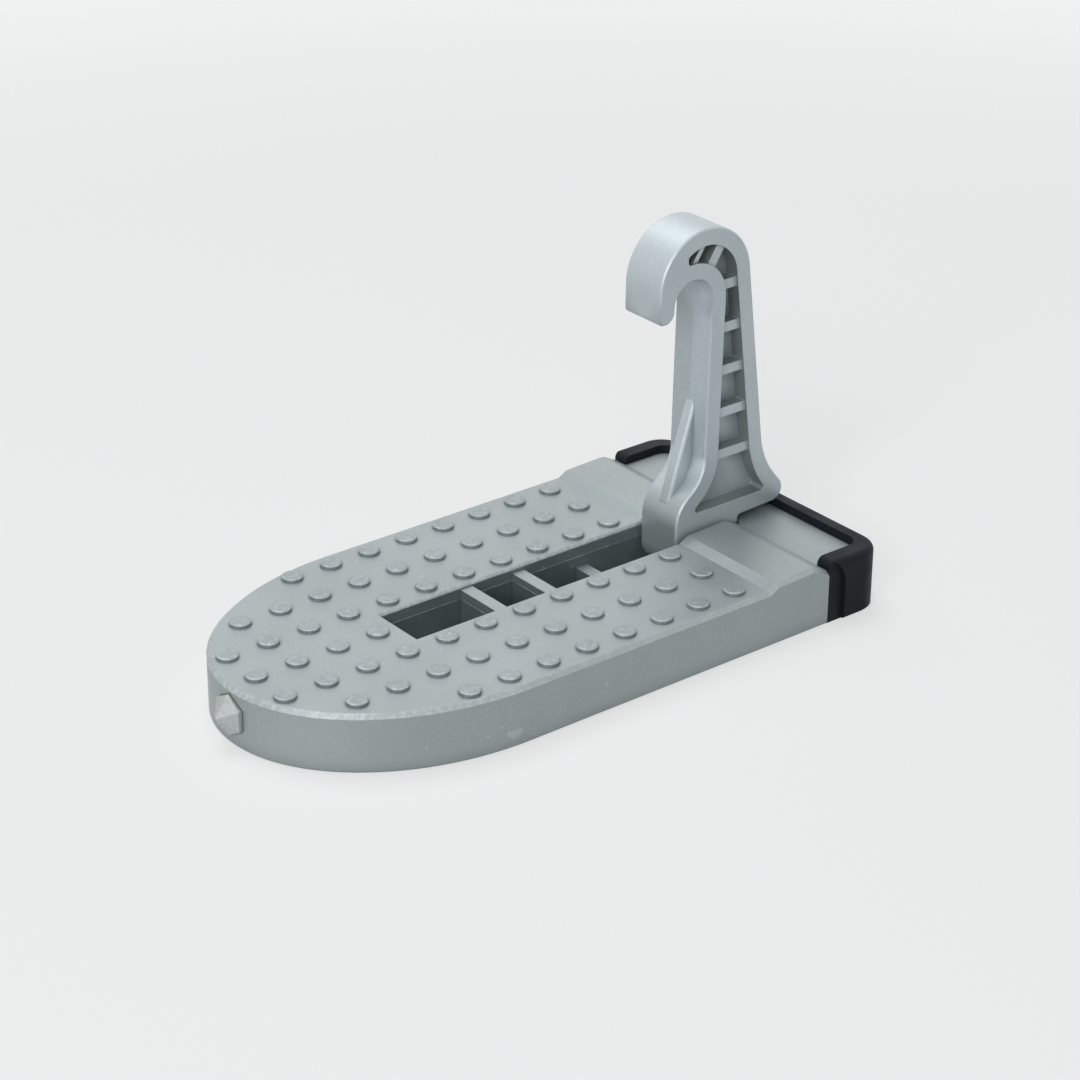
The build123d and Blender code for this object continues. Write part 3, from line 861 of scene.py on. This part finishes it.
def floor_square(width):
    """The flat floor under the step."""
    mesh = bpy.data.meshes.new("floor")
    shape = bmesh.new()
    bmesh.ops.create_grid(shape, x_segments=1, y_segments=1, size=width / 2)
    bmesh.ops.translate(shape, verts=shape.verts, vec=(0.0, 0.0, FLOOR_Z))
    shape.to_mesh(mesh)
    shape.free()
    floor = bpy.data.objects.new("floor", mesh)
    bpy.context.scene.collection.objects.link(floor)
    return floor


def floor_material(settings):
    """Pale matt floor that runs into the plain backdrop; below the slot it is all shadow."""
    material, tree, surface = new_material("pale_floor")
    seen = ray_is(tree, "Is Camera Ray", "Is Glossy Ray")
    thrown = rgba(settings.floor_colour, settings.floor_bounce)
    skin = blend_colours(tree, seen, thrown, rgba(settings.floor_colour))
    fill(
        tree,
        surface,
        {"Base Color": skin, "Roughness": FLOOR_ROUGHNESS, "Specular IOR Level": FLOOR_GLOSS},
    )
    where = tree.nodes.new("ShaderNodeTexCoord").outputs["Object"]
    away = place(tree, "ShaderNodeVectorMath", {0: where}, operation="LENGTH").outputs["Value"]
    spot = place(tree, "ShaderNodeSeparateXYZ", {0: where}).outputs
    off_slot = most(
        tree,
        above(tree, size_of(tree, spot["Y"]), SLOT_HALF_WIDTH),
        below(tree, spot["X"], SLOT_START_X),
        above(tree, spot["X"], SLOT_END_X),
        tree.nodes.new("ShaderNodeNewGeometry").outputs["Backfacing"],
    )
    far = ramp(tree, away, FLOOR_NEAR, FLOOR_FAR, settings.floor_paleness, 1.0)
    backdrop = place(tree, "ShaderNodeEmission", {"Color": rgba(settings.backdrop_colour)})
    share = times(tree, far, off_slot, seen)
    mix = mixed_shaders(tree, share, surface.outputs["BSDF"], backdrop.outputs["Emission"])
    tree.links.new(mix, tree.nodes["Material Output"].inputs["Surface"])
    return material


def sky(colour, strength):
    """Even light from all round, and a plain pale background for the camera and in gloss."""
    world = bpy.data.worlds.new("studio")
    world.use_nodes = True
    tree = world.node_tree
    tree.nodes.clear()
    seen = ray_is(tree, "Is Camera Ray", "Is Glossy Ray", "Is Transmission Ray")
    light = place(tree, "ShaderNodeBackground", {"Color": SKY_COLOUR, "Strength": strength})
    backdrop = place(tree, "ShaderNodeBackground", {"Color": rgba(colour), "Strength": 1.0})
    mix = mixed_shaders(tree, seen, light.outputs["Background"], backdrop.outputs["Background"])
    place(tree, "ShaderNodeOutputWorld", {"Surface": mix})
    bpy.context.scene.world = world


def soft_box(name, place_at, target, width, height, power):
    """One rectangular lamp that points at a target."""
    lamp = bpy.data.lights.new(name, "AREA")
    lamp.shape = "RECTANGLE"
    lamp.size = width
    lamp.size_y = height
    lamp.energy = power
    holder = bpy.data.objects.new(name, lamp)
    holder.location = place_at
    aim = Vector(target) - Vector(place_at)
    holder.rotation_euler = aim.to_track_quat("-Z", "Y").to_euler()
    bpy.context.scene.collection.objects.link(holder)


def camera(settings):
    """The camera at the photograph's viewing angle."""
    data = bpy.data.cameras.new("camera")
    data.sensor_fit = "HORIZONTAL"
    data.sensor_width = SENSOR_WIDTH
    data.lens = settings.camera_lens
    data.clip_start = NEAREST
    holder = bpy.data.objects.new("camera", data)
    holder.location = settings.camera_place
    holder.rotation_euler = Euler(settings.camera_turn, "XYZ")
    bpy.context.scene.collection.objects.link(holder)
    bpy.context.scene.camera = holder


# Operators, one for each piece and one for the stage


class LATCHSTEP_OT_platform(bpy.types.Operator):
    """Finish the studded platform casting"""

    bl_idname = "latch_step.platform"
    bl_label = "Finish Platform"

    def execute(self, context):
        shared_effects()
        settings = context.scene.latch_step_casting
        finish = casting_material(
            "platform_finish",
            settings.platform_colour,
            settings.platform_shade_colour,
            settings.platform_edge,
            PLATFORM_GRIME_AND_SHADE,
            settings,
            platform_marks,
        )
        dress("platform", finish)
        return {"FINISHED"}


class LATCHSTEP_OT_hook_arm(bpy.types.Operator):
    """Finish the hook arm casting"""

    bl_idname = "latch_step.hook_arm"
    bl_label = "Finish Hook Arm"

    def execute(self, context):
        shared_effects()
        settings = context.scene.latch_step_casting
        finish = casting_material(
            "arm_finish",
            settings.arm_colour,
            settings.arm_shade_colour,
            settings.arm_edge,
            ARM_GRIME_AND_SHADE,
            settings,
            arm_marks,
        )
        dress("hook_arm", finish)
        return {"FINISHED"}


class LATCHSTEP_OT_rear_buffer(bpy.types.Operator):
    """Finish the rubber buffer at the rear"""

    bl_idname = "latch_step.rear_buffer"
    bl_label = "Finish Rear Buffer"

    def execute(self, context):
        shared_effects()
        dress("rear_buffer", rubber_material(context.scene.latch_step_fittings))
        return {"FINISHED"}


class LATCHSTEP_OT_glass_breaker(bpy.types.Operator):
    """Finish the steel glass breaker in the nose"""

    bl_idname = "latch_step.glass_breaker"
    bl_label = "Finish Glass Breaker"

    def execute(self, context):
        shared_effects()
        settings = context.scene.latch_step_fittings
        dress("glass_breaker", steel_material("breaker_finish", settings, BREAKER_STRETCH))
        return {"FINISHED"}


class LATCHSTEP_OT_hinge_pin(bpy.types.Operator):
    """Finish the hinge pin"""

    bl_idname = "latch_step.hinge_pin"
    bl_label = "Finish Hinge Pin"

    def execute(self, context):
        shared_effects()
        settings = context.scene.latch_step_fittings
        dress("hinge_pin", steel_material("pin_finish", settings, PIN_STRETCH))
        return {"FINISHED"}


class LATCHSTEP_OT_stage(bpy.types.Operator):
    """Set the floor, the soft light and the camera"""

    bl_idname = "latch_step.stage"
    bl_label = "Set Stage"

    def execute(self, context):
        settings = context.scene.latch_step_stage
        floor = floor_square(settings.floor_width)
        floor.data.materials.append(floor_material(settings))
        sky(settings.backdrop_colour, settings.sky_strength)
        for box in SOFT_BOXES:
            soft_box(*box)
        camera(settings)
        context.scene.view_settings.view_transform = "Standard"
        return {"FINISHED"}


class LATCHSTEP_PT_panel(bpy.types.Panel):
    """The step's settings and operators"""

    bl_label = "Latch Step"
    bl_idname = "LATCHSTEP_PT_panel"
    bl_space_type = "VIEW_3D"
    bl_region_type = "UI"
    bl_category = "Latch Step"

    def draw(self, context):
        for group, _ in SETTINGS:
            settings = getattr(context.scene, group)
            box = self.layout.box()
            for name in settings.__annotations__:
                box.prop(settings, name)
        for operator in OPERATORS:
            self.layout.operator(operator.bl_idname)


SETTINGS = (
    ("latch_step_casting", CastingSettings),
    ("latch_step_fittings", FittingSettings),
    ("latch_step_stage", StageSettings),
)
OPERATORS = (
    LATCHSTEP_OT_platform,
    LATCHSTEP_OT_hook_arm,
    LATCHSTEP_OT_rear_buffer,
    LATCHSTEP_OT_glass_breaker,
    LATCHSTEP_OT_hinge_pin,
    LATCHSTEP_OT_stage,
)


def register():
    """Registers the settings, the operators and the panel."""
    for name, group in SETTINGS:
        bpy.utils.register_class(group)
        setattr(bpy.types.Scene, name, bpy.props.PointerProperty(type=group))
    for operator in OPERATORS:
        bpy.utils.register_class(operator)
    bpy.utils.register_class(LATCHSTEP_PT_panel)


def unregister():
    """Takes the panel, the operators and the settings away again."""
    bpy.utils.unregister_class(LATCHSTEP_PT_panel)
    for operator in reversed(OPERATORS):
        bpy.utils.unregister_class(operator)
    for name, group in reversed(SETTINGS):
        delattr(bpy.types.Scene, name)
        bpy.utils.unregister_class(group)


def main():
    """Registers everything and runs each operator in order."""
    register()
    bpy.ops.latch_step.platform()
    bpy.ops.latch_step.hook_arm()
    bpy.ops.latch_step.rear_buffer()
    bpy.ops.latch_step.glass_breaker()
    bpy.ops.latch_step.hinge_pin()
    bpy.ops.latch_step.stage()


if __name__ == "__main__":
    main()
